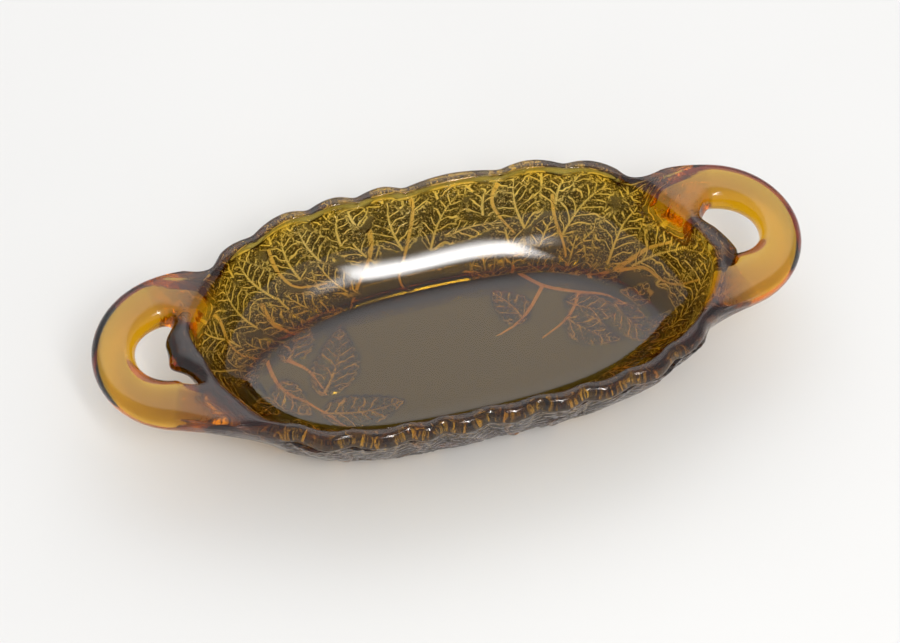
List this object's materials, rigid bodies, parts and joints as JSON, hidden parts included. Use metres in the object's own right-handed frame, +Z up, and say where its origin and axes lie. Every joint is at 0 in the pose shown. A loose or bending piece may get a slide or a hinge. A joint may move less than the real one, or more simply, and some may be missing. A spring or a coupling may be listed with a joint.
{
  "type": "serving dish",
  "caption": "Shallow oval pressed-glass serving dish with a scalloped rim, leaf relief outside and a loop handle at each end.",
  "frame": {"origin": "centre of the underside, on the surface that the dish stands on", "axes": "+X along the handles, +Y to the back, +Z up"},
  "size_m": [0.24, 0.1008, 0.037],
  "materials": {
    "amber_glass": "clear amber pressed glass, fire polished"
  },
  "bodies": {
    "root": {"floor_panel": "amber_glass", "front_wall": "amber_glass", "back_wall": "amber_glass", "left_end_wall": "amber_glass", "right_end_wall": "amber_glass", "rim_band": "amber_glass", "left_handle": "amber_glass", "right_handle": "amber_glass"}
  },
  "joints": []
}
